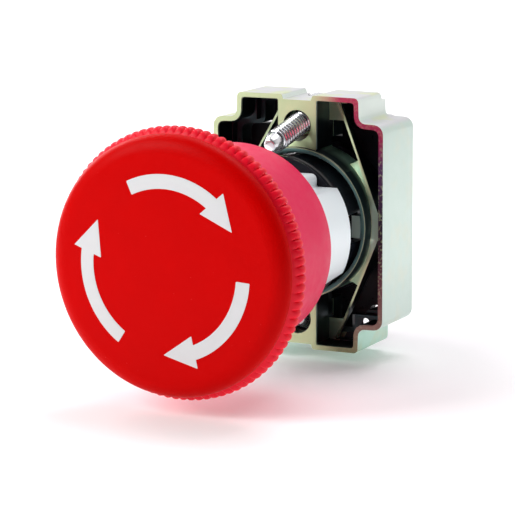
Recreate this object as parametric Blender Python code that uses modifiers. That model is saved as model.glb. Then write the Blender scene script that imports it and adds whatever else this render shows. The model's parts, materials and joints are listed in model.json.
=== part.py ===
"""Panel-mounted emergency stop button: 40 mm turn-to-release head, metal base and one contact block.

The origin is on the button's axis in the plane of the panel's front face. -Y points to the operator,
+Y goes through the panel to the wiring side and +Z is up. The button is shown released, off its panel,
with the upper clamp screw run in and the lower one backed off.
Sizes are in millimetres and are scaled to metres where a mesh is made.
"""
import math

import bmesh
import bpy
from mathutils import Matrix, Vector

MM = 0.001
EPS = 0.00001
GAP = 0.3

# ---- driving dimensions -------------------------------------------------------------------------
HEAD_RADIUS = 20.0
KNURL_TEETH = 96
KNURL_DEPTH = 0.8
KNURL_FRONT, KNURL_REAR = -33.4, -31.4
DOME_FRONT = -37.25
DOME_SPHERE = 250.0
DOME_EDGE_RADIUS = 16.2
LIP_RADIUS = 19.1
RIM_RADIUS = 18.8
SKIRT_RADIUS, SKIRT_REAR = 15.2, -13.3
SKIRT_BORE = 13.6

BEZEL_RADIUS = 13.0
BEZEL_FRONT, BEZEL_REAR = -17.5, -1.9
BEZEL_BORE = 8.7
BEZEL_FLAT = 9.3
BEZEL_TAB_HALF, BEZEL_NOTCH = 7.3, 7.35

FLANGE_RADIUS = 11.7
FLANGE_FRONT, FLANGE_REAR = -1.75, -0.95
GASKET_FRONT = -0.8
BARREL_RADIUS, BARREL_BORE, BARREL_REAR = 10.5, 8.8, 16.8
NOSE_RADIUS, NOSE_BORE, NOSE_FRONT = 7.2, 5.9, -12.0
SPRING_SEAT_FRONT, SPRING_SEAT_REAR = 5.0, 6.5

BASE_FRONT, BASE_REAR = 6.2, 18.3
FLOOR_FRONT, FLOOR_REAR = BASE_FRONT + 4.9, BASE_FRONT + 6.0
BASE_HALF_WIDTH, SHOULDER_HEIGHT = 14.65, 16.1
BOX_HALF_WIDTH, BOX_HEIGHT = 10.5, 20.1
TOP_LEDGE_HEIGHT, TOP_LEDGE_REAR, TOP_REAR = 18.9, BASE_FRONT + 8.7, BASE_FRONT + 10.2
RECESS_HALF, RECESS_HEIGHT = 2.4, 19.3
FRONT_WALL, REAR_WALL = 0.75, 1.8
CAST_LEAN = 0.06
PILLAR_HALF = 3.28
REAR_PILLAR_INNER = 13.0
RIB_X, RIB_Z, RIB_LEAN = 6.42, 15.0, 0.497
RIB_DEPTH, RIB_SLOPE, RIB_THICKNESS = 4.6, 0.2235, 0.5
WEB_HALF, NOTCH_Z = 2.2, 9.6
COLLAR_OUTER, COLLAR_BORE, COLLAR_LIP = 12.0, 10.9, 0.5
KEY_INNER, KEY_HALF = 9.3, 1.75
CORNER_HOLE_X, CORNER_HOLE_Z = 9.6, -16.0

CLAMP_SCREW_Z = 15.3
CLAMP_TILT = math.radians(11.6)
CLAMP_RADIUS, CLAMP_LENGTH = 1.75, 16.6
CLAMP_HEAD_RADIUS, CLAMP_HEAD_HEIGHT = 2.6, 2.2
UPPER_TIP_Y, LOWER_TIP_Y = BASE_FRONT - 9.6, BASE_FRONT + 0.5

LOCK_FRONT, LOCK_REAR = 13.0, 14.8
LOCK_OUTER, LOCK_LUG_INNER = 12.3, 9.3
LOCK_TURN = 30.0
LEVER_END = 17.0

CARRIER_FRONT, CARRIER_REAR = 15.3, 17.4
PRESS_TRAVEL = 5.5
TURN_ANGLE = 35.0

STEM_RADIUS, STEM_FLANGE_RADIUS = 2.8, 4.6
STEM_FLANGE_FRONT, STEM_FLANGE_REAR = -13.5, -12.0
LATCH_Y, LATCH_RADIUS, LATCH_INNER, LATCH_OUTER = -9.5, 0.9, 5.7, 7.6
PIN_Y = -18.5

PLATE_FRONT, PLATE_REAR = 18.0, 19.2
ACTUATOR_HOLE = 3.6
BLOCK_HALF_X, BLOCK_HALF_Z = 5.0, 12.6
BLOCK_FRONT, BLOCK_REAR = 19.5, 35.0
BLOCK_WALL = 1.2
TERMINAL_Z = 9.0
BRIDGE_FRONT = 25.3
BLOCK_SCREW_X, BLOCK_SCREW_Z = 6.1, 15.4

COARSE, MEDIUM, FINE = 20, 28, 48


# ---- scene and collections ----------------------------------------------------------------------
for old in list(bpy.data.objects):
    bpy.data.objects.remove(old)


def new_collection(name):
    made = bpy.data.collections.new(name)
    bpy.context.scene.collection.children.link(made)
    return made


PARTS = new_collection("emergency_stop_button")
CUTTERS = new_collection("cutters")


def material(name, colour, roughness, metallic=0.0):
    made = bpy.data.materials.new(name)
    made.use_nodes = True
    shader = made.node_tree.nodes["Principled BSDF"]
    shader.inputs["Base Color"].default_value = (*colour, 1.0)
    shader.inputs["Roughness"].default_value = roughness
    shader.inputs["Metallic"].default_value = metallic
    return made


RED = material("red_plastic", (0.68, 0.0, 0.005), 0.42)
NICKEL = material("satin_nickel", (0.86, 0.88, 0.90), 0.28, 1.0)
ZINC = material("chromated_zinc", (0.72, 0.78, 0.66), 0.32, 1.0)
STEEL = material("bright_steel", (0.78, 0.79, 0.80), 0.2, 1.0)
BLACK = material("black_plastic", (0.02, 0.022, 0.025), 0.38)
WHITE = material("white_plastic", (0.85, 0.85, 0.83), 0.4)
RUBBER = material("black_rubber", (0.015, 0.015, 0.015), 0.75)
BRASS = material("brass", (0.78, 0.6, 0.3), 0.3, 1.0)
COPPER = material("copper", (0.8, 0.42, 0.26), 0.3, 1.0)


# ---- building tools -----------------------------------------------------------------------------
def add_object(name, data, finish):
    """Puts new data in the scene: a part when it has a finish, otherwise a hidden cutter."""
    made = bpy.data.objects.new(name, data)
    if finish is None:
        CUTTERS.objects.link(made)
        made.hide_render = True
        made.display_type = "WIRE"
    else:
        PARTS.objects.link(made)
        data.materials.append(finish)
    return made


def mesh_object(name, bm, finish=None):
    data = bpy.data.meshes.new(name)
    bm.to_mesh(data)
    bm.free()
    data.shade_smooth()
    data.set_sharp_from_angle(angle=math.radians(30.0))
    return add_object(name, data, finish)


def box(name, low, high, finish=None):
    bm = bmesh.new()
    size = [h - l for l, h in zip(low, high)]
    middle = [(h + l) / 2 * MM for l, h in zip(low, high)]
    scale = Matrix.Diagonal((*[s * MM for s in size], 1.0))
    bmesh.ops.create_cube(bm, size=1.0, matrix=Matrix.Translation(middle) @ scale)
    return mesh_object(name, bm, finish)


def rod(name, radius, start, end, steps=COARSE, finish=None):
    """A straight round bar, or a drill, between two points."""
    bm = bmesh.new()
    a, b = Vector(start) * MM, Vector(end) * MM
    turn = (b - a).to_track_quat("Z", "Y").to_matrix().to_4x4()
    bmesh.ops.create_cone(bm, cap_ends=True, segments=steps, radius1=radius * MM, radius2=radius * MM,
                          depth=(b - a).length, matrix=Matrix.Translation((a + b) / 2) @ turn)
    return mesh_object(name, bm, finish)


def turned(name, profile, steps, finish=None, closed=False, tilt=0.0, place=(0.0, 0.0, 0.0)):
    """Turns a profile of (radius, distance) about the button's axis, or about a tilted one.

    Distances run to the back, and the profile goes down its outer side from back to front.
    """
    bm = bmesh.new()
    points = [bm.verts.new((r * MM, 0.0, d * MM)) for r, d in profile]
    for a, b in zip(points, points[1:]):
        bm.edges.new((a, b))
    if closed:
        bm.edges.new((points[-1], points[0]))
    made = mesh_object(name, bm, finish)
    made.rotation_euler = (tilt - math.pi / 2, 0.0, 0.0)
    made.location = Vector(place) * MM
    screw = made.modifiers.new("turn", "SCREW")
    screw.angle = math.tau
    screw.steps = steps
    screw.render_steps = steps
    screw.use_merge_vertices = True
    screw.merge_threshold = EPS
    return made


def as_mesh(made, whole_faces, finish=None):
    """Replaces a curve object with the closed mesh it evaluates to, each flat side a whole face if asked."""
    name, curve = made.name, made.data
    bpy.context.view_layer.update()
    place = made.matrix_world.copy()
    data = bpy.data.meshes.new_from_object(made.evaluated_get(bpy.context.evaluated_depsgraph_get()))
    bpy.data.objects.remove(made)
    bpy.data.curves.remove(curve)
    bm = bmesh.new()
    bm.from_mesh(data)
    bmesh.ops.remove_doubles(bm, verts=bm.verts, dist=EPS / 10)
    if whole_faces:
        bm.normal_update()
        for side in (1.0, -1.0):
            flat = [f for f in bm.faces if f.normal.z * side > 0.999]
            bmesh.ops.dissolve_faces(bm, faces=flat, use_verts=False)
    bm.to_mesh(data)
    bm.free()
    data.materials.clear()
    mesh = add_object(name, data, finish)
    mesh.matrix_world = place
    return mesh


def plate(name, outlines, front, rear, finish=None):
    """A flat outline in X and Z, with any holes after it, as thick as front to rear."""
    curve = bpy.data.curves.new(name, "CURVE")
    curve.dimensions = "2D"
    curve.fill_mode = "BOTH"
    curve.extrude = (rear - front) / 2 * MM
    for outline in outlines:
        spline = curve.splines.new("POLY")
        spline.points.add(len(outline) - 1)
        for point, (x, z) in zip(spline.points, outline):
            point.co = (x * MM, z * MM, 0.0, 1.0)
        spline.use_cyclic_u = True
    made = add_object(name, curve, None)
    made.rotation_euler = (math.pi / 2, 0.0, 0.0)
    made.location = (0.0, (front + rear) / 2 * MM, 0.0)
    return as_mesh(made, len(outlines) == 1, finish)


def strip(name, outline, half_width, finish):
    """A bent metal strip: its side outline in Y and Z, across the button in X."""
    made = plate(name, [outline], -half_width, half_width, finish)
    made.matrix_world = Matrix.Rotation(math.pi / 2, 4, "Z") @ made.matrix_world
    return made


def wire(name, points, radius, finish):
    """A round wire along the points."""
    curve = bpy.data.curves.new(name, "CURVE")
    curve.dimensions = "3D"
    curve.bevel_depth = radius * MM
    curve.bevel_resolution = 2
    curve.use_fill_caps = True
    spline = curve.splines.new("POLY")
    spline.points.add(len(points) - 1)
    for point, co in zip(spline.points, points):
        point.co = (*[c * MM for c in co], 1.0)
    return add_object(name, curve, finish)


def coil(name, radius, wire_radius, front, rear, turns, finish, per_turn=14):
    """A helical spring on the button's axis, wire centres from front to rear."""
    count = int(turns * per_turn)
    points = []
    for i in range(count + 1):
        angle = math.tau * i / per_turn
        points.append((radius * math.cos(angle), front + (rear - front) * i / count,
                       radius * math.sin(angle)))
    return wire(name, points, wire_radius, finish)


def join(target, tool, operation):
    """Cuts the tool from the target, or adds it to the target."""
    boolean = target.modifiers.new(tool.name, "BOOLEAN")
    boolean.operation = operation
    boolean.object = tool
    boolean.solver = "EXACT"


def cut(target, *tools):
    for tool in tools:
        join(target, tool, "DIFFERENCE")


def unite(target, *tools):
    for tool in tools:
        join(target, tool, "UNION")


# ---- outlines -----------------------------------------------------------------------------------
def arc(radius, start, end, count):
    """Points on a circle about the axis, from one angle in degrees to another."""
    angles = [math.radians(start + (end - start) * i / count) for i in range(count + 1)]
    return [(radius * math.cos(a), radius * math.sin(a)) for a in angles]


def sector(inner, outer, middle, half, count=6):
    """A piece of a ring, half an angle each way from its middle."""
    return arc(outer, middle - half, middle + half, count) + arc(inner, middle + half, middle - half, count)


def rounded(corners, count=4):
    """A closed outline whose (x, z, radius) corners are rounded by arcs."""
    outline = []
    for i, (x, z, radius) in enumerate(corners):
        here = Vector((x, z))
        before = (Vector(corners[i - 1][:2]) - here).normalized()
        after = (Vector(corners[(i + 1) % len(corners)][:2]) - here).normalized()
        if radius == 0.0:
            outline.append((x, z))
            continue
        half = before.angle(after) / 2
        centre = here + (before + after).normalized() * radius / math.sin(half)
        first = here + before * radius / math.tan(half) - centre
        last = here + after * radius / math.tan(half) - centre
        sweep = first.angle_signed(last)
        for step in range(count + 1):
            point = centre + Matrix.Rotation(-sweep * step / count, 2) @ first
            outline.append(tuple(point))
    return outline


def mirrored(right_half):
    """A whole outline from the corners of its right half, listed from the top down."""
    return right_half + [(-x, *rest) for x, *rest in reversed(right_half)]


def up_and_down(top_right):
    """The right half of an outline from its upper quarter, listed from the top down."""
    return top_right + [(x, -z, *rest) for x, z, *rest in reversed(top_right)]


def stepped(inset, box_round, step_round, side_round):
    """The base's stepped right-hand quarter, inset from its outside; its walls lean a little, as cast."""
    side, shoulder = BASE_HALF_WIDTH - inset, SHOULDER_HEIGHT - inset
    box_side, box_top = BOX_HALF_WIDTH - inset, BOX_HEIGHT - inset
    return [(box_side - CAST_LEAN, box_top - CAST_LEAN, box_round),
            (box_side + CAST_LEAN, shoulder + CAST_LEAN, step_round), (side, shoulder - CAST_LEAN, side_round)]


# ---- the head: what the hand presses and turns ---------------------------------------------------
def dome(radius):
    """How far forward the shallow dome is at a radius."""
    return DOME_FRONT + radius * radius / (2 * DOME_SPHERE)


def make_cap():
    edge_y = dome(DOME_EDGE_RADIUS)
    edge = [(DOME_EDGE_RADIUS + (LIP_RADIUS - DOME_EDGE_RADIUS) * math.sin(a), edge_y + 2.3 * (1 - math.cos(a)))
            for a in [math.radians(22.5 * i) for i in range(4, -1, -1)]]
    face = [(r, dome(r)) for r in (12.0, 6.0, 0.0)]
    back = [(0.0, -33.0), (4.3, -33.0), (4.3, -22.0), (7.0, -22.0), (7.0, -33.4), (12.4, -33.4),
            (SKIRT_BORE, -27.0), (SKIRT_BORE, SKIRT_REAR), (SKIRT_RADIUS - 0.2, SKIRT_REAR),
            (SKIRT_RADIUS, SKIRT_REAR - 0.2), (SKIRT_RADIUS + 0.5, -28.4), (SKIRT_RADIUS + 1.1, -29.6),
            (SKIRT_RADIUS + 2.4, -30.3), (RIM_RADIUS - 0.2, -30.4), (RIM_RADIUS, -30.7),
            (RIM_RADIUS, -33.9), (RIM_RADIUS - 0.3, -34.1)]
    cap = turned("mushroom_cap", back + edge + face, FINE, RED)
    pitch = math.tau / KNURL_TEETH
    teeth = []
    for i in range(2 * KNURL_TEETH):
        radius = HEAD_RADIUS - KNURL_DEPTH * (i % 2)
        teeth.append((radius * math.cos(i * pitch / 2), radius * math.sin(i * pitch / 2)))
    knurl = plate("knurl", [teeth, arc(RIM_RADIUS - 1.0, 0.0, 345.0, 23)], KNURL_FRONT, KNURL_REAR)
    unite(cap, knurl)


def make_hub():
    """Metal hub in the cap: its two cam fingers lift the latch pins when the head is turned."""
    hub = turned("cap_hub", [
        (0.0, -26.6), (3.15, -26.6), (3.15, -16.2), (5.0, -16.2), (5.0, -20.2), (6.6, -20.2), (6.6, -21.7),
        (4.0, -21.7), (4.0, -32.4), (3.7, -32.7), (0.0, -32.7)], MEDIUM, STEEL)
    for i, middle in enumerate((60.0, 240.0)):
        unite(hub, plate(f"cam_finger_{i}", [sector(4.9, 5.6, middle, 12.0)], -17.0, -14.2))
    unite(hub, plate("cam_collar", [arc(5.6, 0.0, 345.0, 23), arc(4.0, 0.0, 345.0, 23)], -17.0, -16.4))
    for i, middle in enumerate((17.5, 197.5)):
        cut(hub, plate(f"turn_slot_{i}", [sector(2.6, 6.0, middle, TURN_ANGLE / 2 + 12.0)],
                       PIN_Y - 1.0, PIN_Y + 1.0))


def make_stem():
    stem = turned("plunger_stem", [
        (0.0, 12.3), (1.8, 12.3), (2.0, 12.1), (2.0, 9.6), (STEM_RADIUS, 9.6), (STEM_RADIUS, STEM_FLANGE_REAR),
        (STEM_FLANGE_RADIUS, STEM_FLANGE_REAR), (STEM_FLANGE_RADIUS, STEM_FLANGE_FRONT + 0.4),
        (STEM_FLANGE_RADIUS - 0.4, STEM_FLANGE_FRONT), (STEM_RADIUS, STEM_FLANGE_FRONT), (STEM_RADIUS, -26.0),
        (2.5, -26.3), (0.0, -26.3)], COARSE, WHITE)
    cut(stem, rod("pin_hole", 1.0, (-4.0, PIN_Y, 0.0), (4.0, PIN_Y, 0.0), 16))
    turned("plunger_foot", [
        (0.0, 13.2), (2.9, 13.2), (3.2, 12.9), (3.2, 11.6), (6.0, 11.6), (6.0, 9.9), (2.3, 9.9), (2.3, 12.6),
        (0.0, 12.6)], COARSE, WHITE)
    rod("drive_pin", 0.7, (-4.7, PIN_Y, 0.0), (4.7, PIN_Y, 0.0), 16, STEEL)


def make_latch():
    for name, side in (("latch_pin_left", -1), ("latch_pin_right", 1)):
        rod(name, LATCH_RADIUS, (side * LATCH_INNER, LATCH_Y, 0.0), (side * LATCH_OUTER, LATCH_Y, 0.0), 16, STEEL)
    around = [(8.1 * math.cos(a), LATCH_Y, 8.1 * math.sin(a))
              for a in [math.radians(10.0 + 340.0 * i / 24) for i in range(25)]]
    ring = wire("latch_ring_spring", around, 0.35, STEEL)
    ring.rotation_euler = (0.0, math.radians(90.0), 0.0)


# ---- the operator's fixed body -------------------------------------------------------------------
def make_bezel():
    """Bright sleeve, cut away above and below so that the clamp screws pass it."""
    start = math.degrees(math.asin(BEZEL_NOTCH / BEZEL_RADIUS))
    end = -25.6
    chamfer_end = 6.4
    right = [(BEZEL_TAB_HALF - 0.9 + 0.9 * math.sin(a), BEZEL_FLAT - 0.9 + 0.9 * math.cos(a))
             for a in [math.radians(22.5 * i) for i in range(5)]]
    right += [(BEZEL_TAB_HALF, BEZEL_NOTCH + 0.2), (BEZEL_TAB_HALF + 0.2, BEZEL_NOTCH)]
    right += arc(BEZEL_RADIUS, start, end, 16) + [(chamfer_end, -BEZEL_FLAT)]
    bezel = plate("bezel", [mirrored(right)], BEZEL_FRONT, BEZEL_REAR, NICKEL)
    cut(bezel, rod("bezel_bore", BEZEL_BORE, (0.0, BEZEL_FRONT - 1, 0.0), (0.0, BEZEL_REAR + 1, 0.0), FINE))


def make_barrel():
    """Keyed barrel through the panel, with bayonet slots for the locking ring."""
    barrel = turned("barrel", [
        (BARREL_BORE, BARREL_REAR), (BARREL_RADIUS - 0.4, BARREL_REAR), (BARREL_RADIUS, BARREL_REAR - 0.4),
        (BARREL_RADIUS, FLANGE_REAR), (FLANGE_RADIUS, FLANGE_REAR), (FLANGE_RADIUS, FLANGE_FRONT),
        (NOSE_RADIUS, FLANGE_FRONT), (NOSE_RADIUS, NOSE_FRONT), (NOSE_BORE, NOSE_FRONT),
        (NOSE_BORE, SPRING_SEAT_FRONT), (3.2, SPRING_SEAT_FRONT), (3.2, SPRING_SEAT_REAR),
        (BARREL_BORE, SPRING_SEAT_REAR)], FINE, BLACK, closed=True)
    cut(barrel, box("keyway", (BARREL_BORE - 1.0, 2.2, -2.3), (BARREL_RADIUS + 1, BARREL_REAR + 1, 2.3)))
    slot_front, slot_rear = LOCK_FRONT - GAP, LOCK_REAR + GAP
    for i, locked in enumerate((90.0, 270.0)):
        entry = locked - LOCK_TURN
        sweep = sector(BARREL_BORE - 1, BARREL_RADIUS + 1, locked - LOCK_TURN / 2, LOCK_TURN / 2 + 11.0, 10)
        way_in = sector(BARREL_BORE - 1, BARREL_RADIUS + 1, entry, 11.0)
        cut(barrel, plate(f"bayonet_slot_{i}", [sweep], slot_front, slot_rear))
        cut(barrel, plate(f"bayonet_entry_{i}", [way_in], slot_front + 0.5, BARREL_REAR + 1))
    cut(barrel, rod("latch_hole", LATCH_RADIUS + 0.25, (-9.0, LATCH_Y, 0.0), (9.0, LATCH_Y, 0.0), 16))
    turned("panel_gasket", [
        (FLANGE_RADIUS, 0.0), (FLANGE_RADIUS, GASKET_FRONT), (BARREL_RADIUS + 0.3, GASKET_FRONT),
        (BARREL_RADIUS + 0.3, 0.0)], FINE, RUBBER, closed=True)
    coil("return_spring", 3.7, 0.4, STEM_FLANGE_REAR + 0.7, SPRING_SEAT_FRONT - 0.7, 6, STEEL, 10)
    coil("reset_spring", 6.15, 0.35, -19.5, -18.15, 1.75, STEEL)


# ---- the base behind the panel -------------------------------------------------------------------
def clamp_axis(side):
    """Direction of a clamp screw, from tip to head; side is 1 above the axis and -1 below it."""
    return Vector((0.0, math.cos(CLAMP_TILT), side * math.sin(CLAMP_TILT)))


def clamp_point(side, y):
    """The point of a clamp screw's axis at a distance y."""
    return Vector((0.0, y, side * (CLAMP_SCREW_Z + (y - BASE_FRONT) * math.tan(CLAMP_TILT))))


def make_base_block():
    outer = [(RECESS_HALF, RECESS_HEIGHT, 0.2), (RECESS_HALF + 0.25, BOX_HEIGHT, 0.35)]
    outer += stepped(0.0, 0.7, 1.1, 1.5)
    base = plate("base_frame", [rounded(mirrored(up_and_down(outer)))], BASE_FRONT, BASE_REAR, ZINC)
    bm = bmesh.new()
    bm.from_mesh(base.data)
    back = min(v.co.z for v in bm.verts)
    rim = [e for e in bm.edges if all(v.co.z - back < EPS for v in e.verts)
           and all(abs(v.co.x) > (RECESS_HALF + 1.0) * MM for v in e.verts)
           and abs(e.link_faces[0].normal.dot(e.link_faces[1].normal)) < 0.5]
    bmesh.ops.bevel(bm, geom=rim, offset=0.6 * MM, segments=3, profile=0.5, affect="EDGES")
    bm.to_mesh(base.data)
    bm.free()
    return base


def make_base():
    base = make_base_block()
    pocket = [(PILLAR_HALF, BOX_HEIGHT - FRONT_WALL, 0.3)] + stepped(FRONT_WALL, 0.5, 1.8, 1.0)
    for name, side in (("right", 1), ("left", -1)):
        outline = [(side * x, z) for x, z in rounded(up_and_down(pocket))]
        cut(base, plate(f"{name}_pocket", [outline], BASE_FRONT - 1, FLOOR_FRONT))
    inner = [(PILLAR_HALF, REAR_PILLAR_INNER, 0.0), (PILLAR_HALF, BOX_HEIGHT - REAR_WALL, 0.0)]
    inner += stepped(REAR_WALL, 0.5, 1.0, 1.0)
    cut(base, plate("rear_pocket", [rounded(mirrored(up_and_down(inner)))], FLOOR_REAR, BASE_REAR + 1))
    for i, (sx, sz) in enumerate(((1, 1), (1, -1), (-1, 1), (-1, -1))):
        cut(base, *make_windows(i, sx, sz))
    cut(base, rod("centre_bore", COLLAR_OUTER - 0.4, (0, BASE_FRONT - 2, 0), (0, BASE_REAR + 2, 0), FINE))
    unite(base, make_gussets("right_gussets", 1), make_gussets("left_gussets", -1), make_collar())
    unite(base, box("key", (KEY_INNER, BASE_FRONT + 0.2, -KEY_HALF), (COLLAR_BORE + 0.5, 10.7, KEY_HALF)))
    for side, name in ((1, "upper"), (-1, "lower")):
        seat = clamp_point(side, UPPER_TIP_Y) + clamp_axis(side) * (CLAMP_LENGTH - GAP)
        cut(base, rod(f"{name}_thread_hole", 1.95, clamp_point(side, BASE_FRONT - 2), clamp_point(side, 20.0)))
        cut(base, rod(f"{name}_thread_relief", 2.4, clamp_point(side, BASE_FRONT - 2),
                      clamp_point(side, BASE_FRONT + 2.6)))
        cut(base, rod(f"{name}_counterbore", CLAMP_HEAD_RADIUS + 0.3, seat, clamp_point(side, 24.0)))
    for side in (1, -1):
        x, z = side * CORNER_HOLE_X, CORNER_HOLE_Z
        cut(base, rod(f"corner_hole_{side}", 0.65, (x, FLOOR_FRONT - 1, z), (x, FLOOR_REAR + 1, z), 16))
        near, far = sorted((side * 8.2, side * 10.0))
        cut(base, box(f"corner_relief_{side}", (near, FLOOR_REAR - 0.5, z - 1.1), (far, 14.4, z + 0.85)))
    cut(base, box("lever_slot", (-BASE_HALF_WIDTH - 1, LOCK_FRONT - GAP, -2.0),
                  (-BASE_HALF_WIDTH + 2, LOCK_REAR + GAP, 9.8)))
    wide, high = BOX_HALF_WIDTH + 1, BOX_HEIGHT + 1
    cut(base, box("top_ledge", (-wide, TOP_LEDGE_REAR, TOP_LEDGE_HEIGHT), (wide, BASE_REAR + 1, high)))
    cut(base, box("top_end", (-wide, TOP_REAR, SHOULDER_HEIGHT + 0.15), (wide, BASE_REAR + 1, high)))


def rib_x(z):
    """The middle of a rib at a height, on the right of the axis."""
    return RIB_X + (RIB_Z - abs(z)) * RIB_LEAN


def rib_front(z):
    """The front of a rib at a height: it slopes back to the floor away from the side wall's middle."""
    return BASE_FRONT + RIB_DEPTH - RIB_SLOPE * (RIB_Z - abs(z))


def make_gussets(name, side):
    """Thin ribs up and down from the side wall, joined to the collar by a web."""
    half, top, wall = RIB_THICKNESS / 2, BOX_HEIGHT - 0.5, BASE_HALF_WIDTH - 0.6
    inner = COLLAR_OUTER - 0.4
    down = [(rib_x(top) - half, top), (rib_x(top) + half, top), (rib_x(WEB_HALF) + half, WEB_HALF),
            (wall, WEB_HALF)]
    back = [(7.6, -NOTCH_Z + 0.3), (8.25, -NOTCH_Z + 0.1), (rib_x(NOTCH_Z) - half, -NOTCH_Z - 0.3)]
    outline = down + [(x, -z) for x, z in reversed(down)] + back[::-1] + arc(inner, -50.0, 50.0, 16)
    outline += [(x, -z) for x, z in back]
    gussets = plate(name, [[(side * x, z) for x, z in outline]], BASE_FRONT + 0.5, FLOOR_REAR - 0.2)
    ends = [(rib_front(top + 1), top + 1), (rib_front(WEB_HALF), WEB_HALF)]
    slope = [(y, -z) for y, z in ends] + ends[::-1] + [(BASE_REAR, top + 1), (BASE_REAR, -top - 1)]
    join(gussets, strip(f"{name}_slope", slope, BASE_HALF_WIDTH, None), "INTERSECT")
    return gussets


def make_windows(i, side_x, side_z):
    """The floor's openings either side of a rib; the lower outer one leaves a panel in its corner."""
    ledge = 15.8
    inside = [(PILLAR_HALF - 0.05, ledge), (rib_x(ledge), ledge), (rib_x(NOTCH_Z), NOTCH_Z)]
    inside += arc(COLLAR_OUTER - 0.3, 48.0, 73.9, 6)
    side, low, high = BASE_HALF_WIDTH - 0.9, WEB_HALF - 0.3, BOX_HEIGHT - 0.9
    outside = [(rib_x(high), high), (9.4, high), (9.5, 15.1), (side - 1.0, 15.15), (side, 14.2)]
    if side_z < 0:
        outside = [(rib_x(high), high), (7.7, high), (7.7, 14.9), (side, 14.9)]
    outside += [(side, low), (rib_x(low), low)]
    tools = []
    for name, outline in (("inner", inside), ("outer", outside)):
        placed = [(side_x * x, side_z * z) for x, z in outline]
        tools.append(plate(f"{name}_window_{i}", [placed], FLOOR_FRONT - 0.4, FLOOR_REAR + 0.4))
    return tools


def make_collar():
    """Ring round the bore, with a rounded lead-in at its front."""
    front = BASE_FRONT - COLLAR_LIP
    wide, deep = 0.9, 1.4
    lead_in = [(COLLAR_BORE + wide * (1 - math.cos(a)), front + deep * (1 - math.sin(a)))
               for a in [math.radians(90 - 22.5 * i) for i in range(5)]]
    return turned("collar", [(COLLAR_OUTER, FLOOR_REAR), (COLLAR_OUTER, front + 0.15), (COLLAR_OUTER - 0.1, front)]
                  + lead_in + [(COLLAR_BORE, FLOOR_REAR)], FINE, closed=True)


def make_clamp_screws():
    for name, side, tip_y in (("clamp_screw_upper", 1, UPPER_TIP_Y), ("clamp_screw_lower", -1, LOWER_TIP_Y)):
        end = CLAMP_LENGTH + CLAMP_HEAD_HEIGHT
        screw = turned(name, [
            (0.0, end), (CLAMP_HEAD_RADIUS - 0.4, end), (CLAMP_HEAD_RADIUS, end - 0.5),
            (CLAMP_HEAD_RADIUS, CLAMP_LENGTH), (CLAMP_RADIUS, CLAMP_LENGTH), (CLAMP_RADIUS, 2.4), (1.2, 0.4),
            (0.9, 0.0), (0.0, 0.0)], COARSE, STEEL, tilt=side * CLAMP_TILT, place=clamp_point(side, tip_y))
        middle = clamp_point(side, tip_y) + clamp_axis(side) * end
        slot = box(f"{name}_slot", (-4.0, -0.9, -0.35), (4.0, 0.9, 0.35))
        slot.location = middle * MM
        slot.rotation_euler = (side * CLAMP_TILT, 0.0, 0.0)
        cut(screw, slot)


def make_lock_ring():
    """Bayonet ring, turned by a lever that reaches out of the base's side."""
    ring = turned("lock_ring", [
        (LOCK_OUTER, LOCK_REAR), (LOCK_OUTER, LOCK_FRONT), (COLLAR_BORE, LOCK_FRONT), (COLLAR_BORE, LOCK_REAR)],
        FINE, BLACK, closed=True)
    for i, middle in enumerate((90.0, 270.0)):
        unite(ring, plate(f"lug_{i}", [sector(LOCK_LUG_INNER, COLLAR_BORE + 0.6, middle, 8.0)],
                          LOCK_FRONT + 0.2, LOCK_REAR - 0.2))
    unite(ring, box("lever", (-LEVER_END, LOCK_FRONT + 0.2, -1.4), (-LOCK_OUTER + 0.5, LOCK_REAR - 0.2, 1.4)))


def make_carrier():
    """Black plate in the back of the base that the contact block is screwed to."""
    inset = REAR_WALL + GAP
    outer = [(PILLAR_HALF + GAP, REAR_PILLAR_INNER - GAP, 0.0), (PILLAR_HALF + GAP, BOX_HEIGHT - inset, 0.0)]
    outer += stepped(inset, 0.5, 1.0, 1.0)
    carrier = plate("carrier_plate", [rounded(mirrored(up_and_down(outer)))], CARRIER_FRONT, CARRIER_REAR, BLACK)
    ends = (CARRIER_FRONT - 1, CARRIER_REAR + 1)
    cut(carrier, rod("carrier_bore", COLLAR_BORE, (0, ends[0], 0), (0, ends[1], 0), FINE))
    for i, side in enumerate((1, -1)):
        x, z = side * BLOCK_SCREW_X, side * BLOCK_SCREW_Z
        cut(carrier, rod(f"carrier_screw_hole_{i}", 1.3, (x, ends[0], z), (x, ends[1], z), 16))
    for side in (1, -1):
        near, far = sorted((side * 5.4, side * 9.4))
        cut(carrier, box(f"carrier_corner_{side}", (near, ends[0], -BOX_HEIGHT), (far, ends[1], -15.95)))


# ---- the contact block ---------------------------------------------------------------------------
def make_block_plate():
    ear, slot, step, top, lean = 8.0, 4.0, 13.0, 17.3, CAST_LEAN
    half = [(-BLOCK_HALF_X, BLOCK_HALF_Z), (slot, BLOCK_HALF_Z + lean), (slot + lean, top), (ear, top - lean),
            (ear - lean, step), (BLOCK_HALF_X, step - lean)]
    mount = plate("block_plate", [half + [(-x, -z) for x, z in half]], PLATE_FRONT, PLATE_REAR, BLACK)
    cut(mount, rod("actuator_hole", ACTUATOR_HOLE, (0, PLATE_FRONT - 1, 0), (0, PLATE_REAR + 1, 0)))
    for name, side in (("block_screw_upper", 1), ("block_screw_lower", -1)):
        x, z = side * BLOCK_SCREW_X, side * BLOCK_SCREW_Z
        cut(mount, rod(f"{name}_hole", 1.3, (x, PLATE_FRONT - 1, z), (x, PLATE_REAR + 1, z), 16))


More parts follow.
